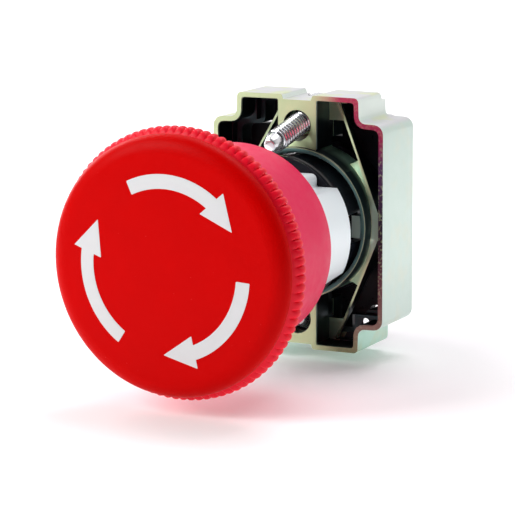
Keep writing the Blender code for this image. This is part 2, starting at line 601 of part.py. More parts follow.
def make_block_screws():
    for name, side in (("block_screw_upper", 1), ("block_screw_lower", -1)):
        x, z = side * BLOCK_SCREW_X, side * BLOCK_SCREW_Z
        screw = turned(name, [
            (0.0, 21.0), (1.3, 21.0), (1.7, 20.6), (1.7, 19.5), (1.0, 19.5), (1.0, 16.2), (0.6, 15.8), (0.0, 15.8)],
            16, STEEL, place=(x, 0.0, z))
        cut(screw, box(f"{name}_slot", (x - 3.0, 20.4, z - 0.25), (x + 3.0, 22.0, z + 0.25)))


def make_housing():
    low = (-BLOCK_HALF_X, BLOCK_FRONT, -BLOCK_HALF_Z)
    high = (BLOCK_HALF_X, BLOCK_REAR, BLOCK_HALF_Z)
    housing = box("block_housing", low, high, BLACK)
    bevel = housing.modifiers.new("edges", "BEVEL")
    bevel.width = 0.5 * MM
    bevel.segments = 1
    cut(housing, box("block_cavity", (low[0] + BLOCK_WALL, BLOCK_FRONT - 1, low[2] + BLOCK_WALL),
                     (high[0] - BLOCK_WALL, BLOCK_REAR - BLOCK_WALL, high[2] - BLOCK_WALL)))
    for side, name in ((1, "upper"), (-1, "lower")):
        z = side * TERMINAL_Z
        cut(housing, rod(f"{name}_screw_access", 2.3, (0, BLOCK_REAR - 3, z), (0, BLOCK_REAR + 1, z)))
        cut(housing, box(f"{name}_wire_entry", (-2.4, 27.6, side * BLOCK_HALF_Z - 1.5),
                         (2.4, 31.2, side * BLOCK_HALF_Z + 1.5)))


def make_contacts():
    foot, leg, end, seat = 2.9, 6.2, 11.0, 30.6
    for side, name in ((1, "upper"), (-1, "lower")):
        outline = [(24.0, foot), (24.8, foot), (24.8, leg), (seat + 0.8, leg), (seat + 0.8, end),
                   (seat, end), (seat, leg + 0.8), (24.0, leg + 0.8)]
        fixed = strip(f"fixed_contact_{name}", [(y, side * z) for y, z in outline], 3.4, COPPER)
        z = side * TERMINAL_Z
        cut(fixed, rod(f"{name}_terminal_hole", 1.6, (0, seat - 1, z), (0, seat + 2, z), 16))
        washer = plate(f"clamp_washer_{name}", [rounded([(-2.6, z - 1.7, 0.4), (2.6, z - 1.7, 0.4),
                                                         (2.6, z + 1.7, 0.4), (-2.6, z + 1.7, 0.4)], 2)],
                       seat + 1.1, seat + 1.8, STEEL)
        cut(washer, rod(f"{name}_washer_hole", 1.6, (0, seat, z), (0, seat + 3, z), 16))
        screw = turned(f"terminal_screw_{name}", [
            (0.0, 34.5), (1.7, 34.5), (2.0, 34.2), (2.0, seat + 2.1), (1.3, seat + 2.1), (1.3, 28.4), (0.9, 28.0),
            (0.0, 28.0)], 16, STEEL, place=(0.0, 0.0, z))
        cut(screw, box(f"{name}_terminal_slot", (-3.0, 33.7, z - 0.3), (3.0, 36.0, z + 0.3)))


def make_moving_contact():
    turned("contact_plunger", [
        (0.0, 28.0), (0.9, 28.0), (1.1, 27.8), (1.1, BRIDGE_FRONT - GAP), (1.8, BRIDGE_FRONT - GAP), (1.8, 13.9),
        (1.4, 13.5), (0.0, 13.5)], COARSE, WHITE)
    bridge = box("contact_bridge", (-1.9, BRIDGE_FRONT, -5.2), (1.9, BRIDGE_FRONT + 0.9, 5.2), COPPER)
    for i, z in enumerate((-4.2, 4.2)):
        unite(bridge, rod(f"contact_tip_{i}", 0.9, (0, BRIDGE_FRONT - 0.2, z), (0, BRIDGE_FRONT + 0.4, z), 16))
    cut(bridge, rod("bridge_hole", 1.4, (0, BRIDGE_FRONT - 1, 0), (0, BRIDGE_FRONT + 2, 0), 16))
    coil("contact_spring", 1.9, 0.3, BRIDGE_FRONT + 1.5, BLOCK_REAR - BLOCK_WALL - 0.6, 6, STEEL, 10)


make_cap()
make_hub()
make_stem()
make_latch()
make_bezel()
make_barrel()
make_base()
make_clamp_screws()
make_lock_ring()
make_carrier()
make_block_plate()
make_block_screws()
make_housing()
make_contacts()
make_moving_contact()
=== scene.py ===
"""Looks of the emergency stop button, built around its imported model.

The frame gives every solid in place, in metres: the origin is on the button's axis at the panel's front
face, -Y points to the operator and +Z is up. Sizes here are in millimetres, scaled where a mesh is made.
"""

import functools
import json
import math

import bmesh
import bpy
from mathutils import Matrix, Vector


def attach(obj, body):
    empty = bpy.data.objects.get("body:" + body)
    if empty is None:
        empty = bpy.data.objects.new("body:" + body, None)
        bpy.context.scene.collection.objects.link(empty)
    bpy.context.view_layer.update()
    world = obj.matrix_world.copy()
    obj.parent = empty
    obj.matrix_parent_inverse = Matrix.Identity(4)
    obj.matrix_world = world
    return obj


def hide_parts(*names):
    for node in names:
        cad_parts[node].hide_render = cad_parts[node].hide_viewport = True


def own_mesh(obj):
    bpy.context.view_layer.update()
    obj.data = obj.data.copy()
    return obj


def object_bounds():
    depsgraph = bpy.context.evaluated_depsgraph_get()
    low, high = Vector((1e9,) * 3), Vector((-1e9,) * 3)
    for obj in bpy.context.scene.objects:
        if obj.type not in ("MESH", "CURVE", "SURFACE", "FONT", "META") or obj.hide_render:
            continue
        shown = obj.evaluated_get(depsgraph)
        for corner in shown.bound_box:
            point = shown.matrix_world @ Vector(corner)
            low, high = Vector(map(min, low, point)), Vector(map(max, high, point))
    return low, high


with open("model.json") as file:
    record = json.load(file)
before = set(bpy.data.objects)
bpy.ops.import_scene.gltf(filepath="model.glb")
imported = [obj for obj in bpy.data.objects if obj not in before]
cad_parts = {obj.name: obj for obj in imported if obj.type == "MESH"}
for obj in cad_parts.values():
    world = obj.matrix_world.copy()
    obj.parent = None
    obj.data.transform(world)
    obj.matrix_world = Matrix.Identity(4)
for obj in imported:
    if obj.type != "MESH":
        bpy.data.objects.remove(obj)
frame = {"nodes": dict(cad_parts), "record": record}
cad_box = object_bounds()

MM = 0.001
MERGE = 0.00001
SHARP_ANGLE, FLAT_ANGLE = math.radians(35.0), math.radians(0.4)


# ---- sizes shared with the solids ------------------------------------------------------------------
HEAD_RADIUS, LIP_RADIUS = 20.0, 19.1
DOME_FRONT, DOME_SPHERE, DOME_EDGE, DOME_ROLL = -37.25, 250.0, 16.2, 2.15
KNURL_TEETH, KNURL_DEPTH, STEPS_PER_TOOTH = 96, 0.62, 8
SKIRT_RADIUS, SKIRT_REAR, SKIRT_BORE = 15.2, -13.3, 13.6
SMOOTH_TURN = 192
# The head is one red moulding; from these places its knurl and skirt take lighter and pinker reds, painted
# light and painted sheen.
KNURL_FROM, SKIRT_FROM = -33.75, -30.9

ARROW_COUNT = 3
ARROW_INNER, ARROW_OUTER = 11.55, 13.65
ARROW_TAIL, ARROW_NECK, ARROW_TIP = 116.0, 52.4, 29.1
ARROW_TIP_RADIUS, ARROW_HEAD_HALF, ARROW_HEAD_SLANT = 12.5, 2.39, 40.75
ARROW_CORNER, ARROW_STEPS = 0.14, 28
INK_ABOVE, INK_BELOW = 0.045, -0.03

CLAMP_TILT = math.radians(11.6)
CLAMP_RADIUS, CLAMP_LENGTH, CLAMP_PITCH = 1.75, 16.6, 0.8
CLAMP_HEAD_RADIUS, CLAMP_HEAD_HEIGHT = 2.6, 2.2
CLAMP_Z, BASE_FRONT = 15.3, 6.2
CLAMP_TIPS = {"upper": (1, BASE_FRONT - 9.6), "lower": (-1, BASE_FRONT + 0.5)}
THREAD_FROM, THREAD_TO, THREAD_DEPTH = 1.7, CLAMP_LENGTH - 3.0, 0.55 * CLAMP_PITCH

# The base frame's features, which its film's colours follow.
BASE_TOP, SHOULDER_Z, POCKET_TOP = 20.0, 16.2, 19.1
PILLAR_HALF = 3.6
COLLAR_RADIUS, LEAD_IN_RADIUS, KEY_RADIUS = 12.05, 11.78, 10.8
# A rib's side is where |x| + RIB_LEAN * |z| is RIB_SIDE, and it ends at the box's side.
RIB_LEAN, RIB_SIDE, RIB_END = 0.497, 14.1, 14.0


# ---- finishes --------------------------------------------------------------------------------------
class Finish:
    """A Principled material, with short ways to drive its sockets by patterns in millimetres."""

    def __init__(self, name, colour, roughness, metallic=0.0):
        self.material = bpy.data.materials.new(name)
        self.material.use_nodes = True
        self.tree = self.material.node_tree
        self.shader = self.tree.nodes["Principled BSDF"]
        self.shader.inputs["Metallic"].default_value = metallic
        self.drive("Roughness", roughness)
        self.place = self.node("TexCoord", {}).outputs["Object"]
        self.drive("Base Color", colour)

    def node(self, kind, inputs, **settings):
        made = self.tree.nodes.new("ShaderNode" + kind)
        for key, value in settings.items():
            setattr(made, key, value)
        for key, value in inputs.items():
            self.feed(made.inputs[key], value)
        return made

    def feed(self, socket, value):
        if isinstance(value, bpy.types.NodeSocket):
            self.tree.links.new(value, socket)
        elif socket.type == "RGBA":
            socket.default_value = (*value, 1.0)
        else:
            socket.default_value = value

    def drive(self, socket, value):
        self.feed(self.shader.inputs[socket], value)

    def noise(self, size, detail=2.0, stretch=(1.0, 1.0, 1.0)):
        """Smooth noise from 0 to 1, its features about size mm across."""
        place = self.node("Mapping", {"Vector": self.place, "Scale": stretch}).outputs["Vector"]
        made = self.node("TexNoise", {"Vector": place, "Scale": 1.0 / (size * MM), "Detail": detail})
        return made.outputs["Fac"]

    def cells(self, size):
        """Distance from the nearest of scattered points about size mm apart, and a random colour for each."""
        made = self.node("TexVoronoi", {"Vector": self.place, "Scale": 1.0 / (size * MM)})
        return made.outputs["Distance"], made.outputs["Color"]

    def spread(self, value, low, high, first, last):
        """Maps a value from between low and high to between first and last."""
        return self.node("MapRange", {"Value": value, "From Min": low, "From Max": high,
                                      "To Min": first, "To Max": last}).outputs["Result"]

    def math(self, operation, a, b=0.0):
        return self.node("Math", {0: a, 1: b}, operation=operation).outputs["Value"]

    def mix(self, factor, a, b):
        return self.node("Mix", {0: factor, 6: a, 7: b}, data_type="RGBA").outputs[2]

    def ramp(self, value, *stops):
        """Blends through (position, colour) stops."""
        made = self.node("ValToRGB", {"Fac": value})
        elements = made.color_ramp.elements
        elements[0].position, elements[0].color = stops[0][0], (*stops[0][1], 1.0)
        elements[1].position, elements[1].color = stops[-1][0], (*stops[-1][1], 1.0)
        for position, colour in stops[1:-1]:
            elements.new(position).color = (*colour, 1.0)
        return made.outputs["Color"]

    def bump(self, height, depth, strength=1.0):
        """Raises the surface by up to depth mm where height is 1."""
        made = self.node("Bump", {"Height": height, "Distance": depth * MM, "Strength": strength})
        self.drive("Normal", made.outputs["Normal"])


def red_plastic(name, gloss, grain_depth, bright, deep):
    """Moulded red plastic: clouded colour, a spark-eroded grain and a little dust."""
    made = Finish(name, bright, 0.4)
    cloud = made.mix(made.noise(6.0, 3.0), bright, deep)
    distance, chance = made.cells(0.9)
    near = made.math("LESS_THAN", distance, 0.07)
    chosen = made.math("GREATER_THAN", made.node("SeparateColor", {"Color": chance}).outputs["Red"], 0.9)
    speck = made.math("MULTIPLY", near, chosen)
    made.drive("Base Color", made.mix(made.math("MULTIPLY", speck, 0.2), cloud, (0.90, 0.20, 0.18)))
    made.drive("Roughness", made.spread(made.noise(1.1, 3.0), 0.3, 0.7, 0.34, 0.46))
    made.shader.inputs["Specular IOR Level"].default_value = gloss
    made.bump(made.noise(0.30, 3.0), grain_depth, 0.8)
    return made.material


def white_ink():
    made = Finish("white_ink", (0.80, 0.81, 0.80), 0.5)
    made.drive("Base Color", made.mix(made.noise(1.5, 3.0), (0.71, 0.71, 0.72), (0.67, 0.68, 0.68)))
    made.bump(made.noise(0.30, 3.0), 0.02, 0.5)
    return made.material


def satin_metal():
    """Smooth bright plating of the bezel."""
    made = Finish("bright_metal", (0.95, 0.96, 0.98), 0.3, 0.2)
    made.drive("Base Color", made.mix(made.noise(6.0, 1.0), (0.92, 0.99, 1.0), (0.86, 0.96, 0.98)))
    made.drive("Roughness", made.spread(made.noise(3.0, 1.0), 0.3, 0.7, 0.28, 0.34))
    return made.material


class CastZinc(Finish):
    """Die casting under an iridescent chromate film: pale mint outside, yellow to purple on its front rims,
    and painted shade in its pockets. Places are in millimetres. A mask is 0 where it is off and 1 where it is
    on."""

    TARNISH = ((0.0, (0.26, 0.27, 0.14)), (0.10, (0.27, 0.20, 0.16)), (0.28, (0.16, 0.07, 0.09)),
               (0.50, (0.05, 0.03, 0.06)), (0.74, (0.09, 0.03, 0.10)), (0.86, (0.36, 0.03, 0.10)),
               (0.97, (0.46, 0.06, 0.13)))
    PALE_CREST, PALE_WEB, PALE_KEY = (0.70, 0.78, 0.48), (0.74, 1.0, 0.80), (0.82, 1.0, 0.90)
    UPPER_SIDE, LEAD_IN_TEAL, DARK_FLOOR = (0.84, 0.93, 0.86), (0.34, 0.60, 0.58), (0.012, 0.030, 0.034)

    def __init__(self):
        super().__init__("cast_zinc", (0.78, 0.84, 0.76), 0.3)
        self.find_place()
        pocket_walls = self.pocket_walls()
        deep = self.both(self.rims, self.behind_front(0.5, 1.2))
        colour = self.mix(self.rims, self.outside(), self.front_rims())
        # Walls in the pockets and the ribs' outer sides are darkened here as painted shade.
        colour = self.mix(pocket_walls, colour, self.dark_film())
        colour = self.mix(deep, colour, self.floor())
        self.drive("Base Color", self.collar(colour))
        dull = self.either(pocket_walls, self.math("MULTIPLY", deep, 0.2))
        self.drive("Metallic", self.spread(dull, 0.0, 1.0, 0.45, 0.85))
        smooth = self.spread(self.noise(1.6, 3.0), 0.3, 0.7, 0.28, 0.40)
        far_back = self.both(pocket_walls, self.behind_front(6.2, 6.6, 0.55))
        polish = self.math("MULTIPLY", self.lead_in, 0.18)
        self.drive("Roughness", self.math("SUBTRACT", self.total(smooth, far_back), polish))
        self.bump(self.noise(1.4, 2.0), 0.010, 0.4)

    def find_place(self):
        """The point in millimetres and the surface's normal, and what follows from them."""
        scaled = self.node("VectorMath", {0: self.place, 1: (1.0 / MM,) * 3}, operation="MULTIPLY").outputs[0]
        point = self.node("SeparateXYZ", {"Vector": scaled}).outputs
        normal = self.node("SeparateXYZ", {"Vector": self.node("TexCoord", {}).outputs["Normal"]}).outputs
        self.x, self.y, self.z = point["X"], point["Y"], point["Z"]
        self.sideways, self.facing, self.upward = normal["X"], normal["Y"], normal["Z"]
        self.wide, self.high = self.math("ABSOLUTE", self.x), self.math("ABSOLUTE", self.z)
        self.radius = self.math("SQRT", self.total(self.times(self.x, self.x), self.times(self.z, self.z)))
        self.outward = self.total(self.times(self.x, self.sideways), self.times(self.z, self.upward))
        self.leaning = self.total(self.wide, self.math("MULTIPLY", self.high, RIB_LEAN))
        self.rims = self.rises(self.facing, -0.35, -0.8)

    def total(self, *values):
        return functools.reduce(lambda a, b: self.math("ADD", a, b), values)

    def times(self, *values):
        return functools.reduce(lambda a, b: self.math("MULTIPLY", a, b), values)

    def both(self, *masks):
        """The part where every mask is on."""
        return self.times(*masks)

    def either(self, *masks):
        return functools.reduce(lambda a, b: self.math("MAXIMUM", a, b), masks)

    def under(self, value, limit):
        return self.math("LESS_THAN", value, limit)

    def rises(self, value, off, on, top=1.0):
        """A mask that goes from 0 at one value to its top at another."""
        return self.spread(value, off, on, 0.0, top)

    def behind_front(self, off, on, top=1.0):
        """A mask that rises between two depths behind the base's front."""
        return self.rises(self.y, BASE_FRONT + off, BASE_FRONT + on, top)

    def outside(self):
        patches = self.rises(self.noise(5.0, 3.0), 0.48, 0.66)
        side = self.mix(patches, (0.64, 0.78, 0.70), (0.68, 0.77, 0.66))
        # Sides above the shoulder are lightened as painted light.
        side = self.mix(self.rises(self.z, SHOULDER_Z, SHOULDER_Z + 1.0), side, self.UPPER_SIDE)
        # Top faces: grey with yellow film patches, darkened against the sides as painted shade.
        top = self.mix(patches, (0.66, 0.67, 0.68), (0.66, 0.72, 0.44))
        low = self.mix(patches, (0.50, 0.77, 0.64), (0.57, 0.71, 0.52))
        outer = self.mix(self.rises(self.upward, 0.5, 0.9), side, top)
        return self.mix(self.rises(self.z, -SHOULDER_Z - 0.1, -SHOULDER_Z - 0.8), outer, low)

    def front_rims(self):
        """Yellow-green on the left and in the middle, pink to purple down the right."""
        tarnish = self.ramp(self.rises(self.z, -BASE_TOP, BASE_TOP), *self.TARNISH)
        pale = self.mix(self.noise(2.5, 3.0), (0.52, 0.68, 0.38), (0.66, 0.73, 0.44))
        worn = self.both(self.rises(self.noise(0.45, 4.0), 0.50, 0.66, 0.6),
                         self.spread(self.high, 13.0, 6.0, 0.25, 1.0))
        return self.mix(self.rises(self.x, 2.8, 7.2), pale, self.mix(worn, tarnish, pale))

    def pocket_walls(self):
        """Walls that face the axis and the sides of pillars and ribs, behind the front rims."""
        inward = self.rises(self.outward, 0.0, -3.0)
        inside = self.under(self.high, POCKET_TOP)
        pillar_sides = self.both(self.under(self.wide, PILLAR_HALF), inside,
                                 self.math("GREATER_THAN", self.math("ABSOLUTE", self.sideways), 0.5))
        rib_sides = self.both(self.rises(self.leaning, RIB_SIDE - 0.2, RIB_SIDE),
                              self.rises(self.leaning, RIB_SIDE + 1.1, RIB_SIDE + 0.9),
                              self.under(self.wide, RIB_END), inside,
                              self.rises(self.outward, 0.0, 3.0), self.rises(self.facing, -0.7, -0.4))
        return self.both(self.either(inward, pillar_sides, rib_sides), self.behind_front(0.1, 0.6))

    # Painted shade: a near-black green put where the pockets and the collar's neck lie in shade.
    def dark_film(self):
        return self.mix(self.noise(3.0, 3.0), (0.006, 0.012, 0.018), (0.030, 0.060, 0.062))

    def floor(self):
        """Ribs, web and floor: green up to the ribs, the rib crests pale as wear and painted highlight, the
        web lightened as painted light, and painted shade outside the ribs, in the lower corner and at the
        foot.
        """
        lit = self.mix(self.noise(2.5, 3.0), (0.21, 0.46, 0.36), (0.50, 0.62, 0.33))
        # Rib crests paled, as wear and as a painted highlight.
        lit = self.mix(self.rises(self.leaning, RIB_SIDE - 0.6, RIB_SIDE - 0.2, 0.8), lit, self.PALE_CREST)
        # Outside the ribs, in the lower right corner and at the foot the floor gets painted shade.
        past_rib = self.rises(self.leaning, RIB_SIDE + 0.3, RIB_SIDE + 0.7)
        corner = self.both(self.rises(self.z, -12.5, -14.0), self.rises(self.x, 5.8, 7.0))
        foot = self.rises(self.z, -15.0, -16.5, 0.7)
        floor = self.mix(self.either(past_rib, corner, foot), lit, self.DARK_FLOOR)
        # The web is lightened as painted light.
        web = self.both(self.rises(self.x, 11.0, 12.2), self.rises(self.high, 6.0, 3.0))
        return self.mix(web, floor, self.PALE_WEB)

    def collar(self, colour):
        """A pale outer edge, a polished teal lead-in partly lightened as a painted sheen, a neck that turns
        from painted shade to mint, and a mint key lightened as painted light.
        """
        ring = self.both(self.under(self.radius, COLLAR_RADIUS), self.behind_front(4.5, 4.0))
        lead_in = self.both(ring, self.under(self.radius, LEAD_IN_RADIUS))
        edge = self.mix(self.noise(1.5, 3.0), (0.62, 0.70, 0.42), (0.74, 0.78, 0.50))
        neck = self.both(self.rises(self.radius, COLLAR_RADIUS + 0.15, COLLAR_RADIUS + 0.05),
                         self.rises(self.facing, -0.6, -0.4), self.rises(self.outward, 0.0, 3.0))
        green = self.mix(self.noise(3.0, 2.0), (0.30, 0.56, 0.46), (0.46, 0.72, 0.52))
        # The neck's front is darkened as painted shade.
        green = self.mix(self.behind_front(1.4, 3.4), self.dark_film(), green)
        key = self.both(self.under(self.radius, KEY_RADIUS), self.under(self.facing, -0.3))
        self.lead_in = self.math("SUBTRACT", lead_in, self.both(lead_in, key))
        colour = self.mix(self.both(ring, self.rims), colour, edge)
        # The lead-in's lighter teal is partly the metal's tint and partly a painted sheen.
        colour = self.mix(lead_in, colour, self.LEAD_IN_TEAL)
        # The key is pale mint and lightened further as painted light.
        return self.mix(key, self.mix(neck, colour, green), self.PALE_KEY)


def bright_steel():
    made = Finish("steel", (0.84, 0.85, 0.87), 0.14, 0.8)
    made.drive("Base Color", made.mix(made.noise(2.5, 2.0), (0.88, 0.89, 0.91), (0.78, 0.79, 0.82)))
    made.drive("Roughness", made.spread(made.noise(0.8, 3.0), 0.3, 0.7, 0.10, 0.22))
    return made.material


def thread_root():
    """Steel in the roots of a thread, darkened as painted shade."""
    made = Finish("thread_root", (0.10, 0.11, 0.12), 0.3, 1.0)
    made.drive("Base Color", made.mix(made.noise(1.0, 3.0), (0.07, 0.09, 0.11), (0.16, 0.17, 0.18)))
    return made.material


def black_plastic():
    made = Finish("black_plastic", (0.006, 0.007, 0.010), 0.35)
    made.drive("Base Color", made.mix(made.noise(3.0, 3.0), (0.004, 0.005, 0.008), (0.009, 0.011, 0.016)))
    made.drive("Roughness", made.spread(made.noise(0.6, 4.0), 0.3, 0.7, 0.26, 0.42))
    made.shader.inputs["Specular IOR Level"].default_value = 0.15
    made.bump(made.noise(0.4, 2.0), 0.006, 0.4)
    return made.material


def white_plastic():
    made = Finish("white_plastic", (0.82, 0.82, 0.79), 0.4)
    made.drive("Base Color", made.mix(made.noise(3.0, 2.0), (0.84, 0.84, 0.82), (0.78, 0.78, 0.75)))
    made.shader.inputs["Subsurface Weight"].default_value = 0.2
    made.shader.inputs["Subsurface Radius"].default_value = (0.0006, 0.0005, 0.0004)
    made.bump(made.noise(0.3, 2.0), 0.008, 0.5)
    return made.material


def black_rubber():
    made = Finish("black_rubber", (0.012, 0.012, 0.013), 0.7)
    made.drive("Base Color", made.mix(made.noise(1.5, 4.0), (0.010, 0.010, 0.011), (0.024, 0.024, 0.025)))
    made.bump(made.noise(0.2, 3.0), 0.02, 0.7)
    return made.material


def copper_alloy():
    made = Finish("copper_alloy", (0.80, 0.55, 0.34), 0.25, 1.0)
    made.drive("Base Color", made.mix(made.noise(2.0, 3.0), (0.84, 0.60, 0.38), (0.72, 0.46, 0.27)))
    made.drive("Roughness", made.spread(made.noise(0.8, 3.0, (1.0, 6.0, 1.0)), 0.3, 0.7, 0.18, 0.34))
    return made.material


FINISHES = {
    "red_plastic": red_plastic("red_plastic", 0.04, 0.035, (0.62, 0.0, 0.0), (0.55, 0.0, 0.0)),
    # The knurl and skirt share the dome's red moulding; their lighter and pinker reds are painted light and
    # painted sheen.
    "red_knurl": red_plastic("red_knurl", 0.2, 0.008, (0.93, 0.008, 0.030), (0.86, 0.005, 0.024)),
    "red_skirt": red_plastic("red_skirt", 0.2, 0.008, (0.86, 0.010, 0.095), (0.80, 0.006, 0.075)),
    "white_ink": white_ink(),
    "bright_metal": satin_metal(),
    "cast_zinc": CastZinc().material,
    "steel": bright_steel(),
    "thread_root": thread_root(),
    "black_plastic": black_plastic(),
    "white_plastic": white_plastic(),
    "black_rubber": black_rubber(),
    "copper_alloy": copper_alloy(),
}
NODE_BODY = {node: body for body, nodes in frame["record"]["behaviour"]["bodies"].items() for node in nodes}
NODE_SLOT = {part["node"]: part["material_slot"] for part in frame["record"]["subparts"]}


# ---- mesh tools ------------------------------------------------------------------------------------
def add_piece(name, bm, node, finish=None, stands_for=True):
    """Makes a mesh a piece that moves with a CAD node's body and takes its finish."""
    bm.normal_update()
    data = bpy.data.meshes.new(name)
    bm.to_mesh(data)
    bm.free()
    data.shade_smooth()
    data.set_sharp_from_angle(angle=SHARP_ANGLE)
    data.materials.append(FINISHES[finish or NODE_SLOT[node]])
    made = bpy.data.objects.new(name, data)
    bpy.context.scene.collection.objects.link(made)
    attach(made, NODE_BODY[node])
    if stands_for:
        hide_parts(node)
    return made


def ring(bm, radius, distance, count):
    """A ring of vertices about the button's axis; the radius may be a function of the angle."""
    verts = []
    for i in range(count):
        angle = math.tau * i / count
        r = radius(angle) if callable(radius) else radius
        verts.append(bm.verts.new((r * math.cos(angle) * MM, distance * MM, r * math.sin(angle) * MM)))
    return verts


def stitch(bm, a, b):
    """Joins two rings by faces; one ring may have a whole number of times the other's vertices."""
    if len(a) < len(b):
        coarse, fine = a, b
    else:
        coarse, fine = b, a
    step = len(fine) // len(coarse)
    for i in range(len(coarse)):
        near = [coarse[i], coarse[(i + 1) % len(coarse)]]
        far = [fine[(i * step + k) % len(fine)] for k in range(step + 1)]
        face = near + far[::-1]
        bm.faces.new(face if coarse is b else face[::-1])


def lathe(bm, profile, count):
    """Turns (radius, distance) points about the axis. A radius of 0 closes the end with one face."""
    rings = [ring(bm, radius, distance, count) if radius else None for radius, distance in profile]
    for a, b in zip(rings, rings[1:]):
        if a is None:
            bm.faces.new(b)
        elif b is None:
            bm.faces.new(a[::-1])
        else:
            stitch(bm, a, b)
    return rings


def face_out(bm):
    bmesh.ops.recalc_face_normals(bm, faces=bm.faces)


def arc(centre, radius, start, end, count):
    """Points on an arc in (radius, distance), by angles in degrees from +radius towards +distance."""
    points = []
    for i in range(count + 1):
        angle = math.radians(start + (end - start) * i / count)
        points.append((centre[0] + radius * math.cos(angle), centre[1] + radius * math.sin(angle)))
    return points


def refined(node, edge):
    """A copy of a CAD node with whole flat faces and its sharp edges rounded to edge mm."""
    bm = bmesh.new()
    bm.from_mesh(frame["nodes"][node].data)
    bmesh.ops.remove_doubles(bm, verts=bm.verts, dist=MERGE / 5)
    bmesh.ops.dissolve_limit(bm, angle_limit=FLAT_ANGLE, verts=bm.verts, edges=bm.edges)
    made = add_piece(f"{node}_finished", bm, node)
    bevel = made.modifiers.new("edges", "BEVEL")
    bevel.width = edge * MM
    bevel.segments = 2
    bevel.limit_method = "ANGLE"
    bevel.angle_limit = SHARP_ANGLE
    bevel.harden_normals = True


# ---- the head --------------------------------------------------------------------------------------
def dome(radius):
    return DOME_FRONT + radius * radius / (2 * DOME_SPHERE)


def knurl_radius(base, depth):
    """Radius by angle of broad rounded teeth with narrow roots."""
    def at(angle):
        phase = (angle * KNURL_TEETH / math.tau) % 1.0
        rise = 1.0 - abs(2.0 * phase - 1.0)
        return base + depth * math.sqrt(max(0.0, 1.0 - (1.0 - rise) ** 2))
    return at


def cap_front():
    """The head's front as (radius, distance): the dome, its rolled edge, and the groove before the knurl."""
    face = [(r, dome(r)) for r in (0.0, 2.0, 5.0, 8.0, 11.0, 13.5, 15.2)]
    edge = []
    for i in range(13):
        angle = math.radians(7.5 * i)
        edge.append((DOME_EDGE + (LIP_RADIUS - DOME_EDGE) * math.sin(angle),
                     dome(DOME_EDGE) + DOME_ROLL * (1 - math.cos(angle))))
    groove = [(LIP_RADIUS, -34.45), (18.98, -34.32), (18.72, -34.22), (18.56, -34.08), (18.56, -33.92),
              (18.75, -33.8)]
    return face + edge + groove


def cap_rear():
    """The rest of the head: the neck down to the skirt, the skirt's edge, its inside and the hub's boss."""
    steps = 12
    start, pull, stop = (18.62, -30.42), (15.55, -30.2), (15.42, -26.8)
    profile = [(18.85, -31.2), (18.8, -30.75), start]
    for i in range(1, steps + 1):
        t = i / steps
        a, b, c = (1 - t) ** 2, 2 * t * (1 - t), t * t
        profile.append((start[0] * a + pull[0] * b + stop[0] * c, start[1] * a + pull[1] * b + stop[1] * c))
    skirt = [(15.36, -24.0), (15.28, -20.0), (SKIRT_RADIUS, -16.5), (SKIRT_RADIUS, SKIRT_REAR - 0.3),
             (SKIRT_RADIUS - 0.06, SKIRT_REAR - 0.12), (SKIRT_RADIUS - 0.2, SKIRT_REAR)]
    inside = [(SKIRT_BORE + 0.15, SKIRT_REAR), (SKIRT_BORE, SKIRT_REAR - 0.15), (SKIRT_BORE, -27.0),
              (12.4, -33.2), (12.1, -33.4), (7.2, -33.4), (7.0, -33.2)]
    boss = [(7.0, -22.1), (6.9, -22.0), (4.4, -22.0), (4.3, -22.1), (4.3, -33.0), (0.0, -33.0)]
    return profile + skirt + inside + boss


def make_cap():
    """The moulded head: dome, lip and groove, knurl, skirt and the boss for the hub."""
    bm = bmesh.new()
    root = HEAD_RADIUS - KNURL_DEPTH
    knurl = [lathe(bm, cap_front(), SMOOTH_TURN)[-1]]
    for y, base, depth in ((-33.62, 18.95, 0.02), (-33.5, root - 0.25, 0.10), (-33.25, root - 0.1, 0.38),
                           (-32.9, root, 0.54), (-32.5, root, KNURL_DEPTH), (-32.1, root, KNURL_DEPTH),
                           (-31.7, root, 0.54), (-31.45, root - 0.1, 0.3)):
        knurl.append(ring(bm, knurl_radius(base, depth), y, STEPS_PER_TOOTH * KNURL_TEETH))
    knurl.append(lathe(bm, cap_rear(), SMOOTH_TURN)[0])
    for a, b in zip(knurl, knurl[1:]):
        stitch(bm, a, b)
    face_out(bm)
    # Knurl and skirt faces take the reds with painted light and painted sheen.
    for face in bm.faces:
        y = face.calc_center_median().y / MM
        face.material_index = (y > KNURL_FROM) + (y >= SKIRT_FROM)
    cap = add_piece("cap_moulding", bm, "mushroom_cap")
    for finish in ("red_knurl", "red_skirt"):
        cap.data.materials.append(FINISHES[finish])


def polar(radius, degrees):
    angle = math.radians(degrees)
    return Vector((radius * math.cos(angle), radius * math.sin(angle)))


def meet(point, direction, radius, side):
    """Where a line from a point meets a circle about the axis, on its far (1) or near (-1) side."""
    along = point.dot(direction)
    reach = math.sqrt(along * along - point.length_squared + radius * radius)
    return point + direction * (side * reach - along)


def softened(corners, radius):
    """Rounds the corners of a closed outline given as (point, rounded) pairs."""
    count = 4
    outline = []
    for i, (here, is_round) in enumerate(corners):
        if not is_round:
            outline.append(here)
            continue
        before = (corners[i - 1][0] - here).normalized()
        after = (corners[(i + 1) % len(corners)][0] - here).normalized()
        for k in range(count + 1):
            t = k / count
            outline.append(here + before * radius * (1 - t) ** 2 + after * radius * t * t)
    return outline


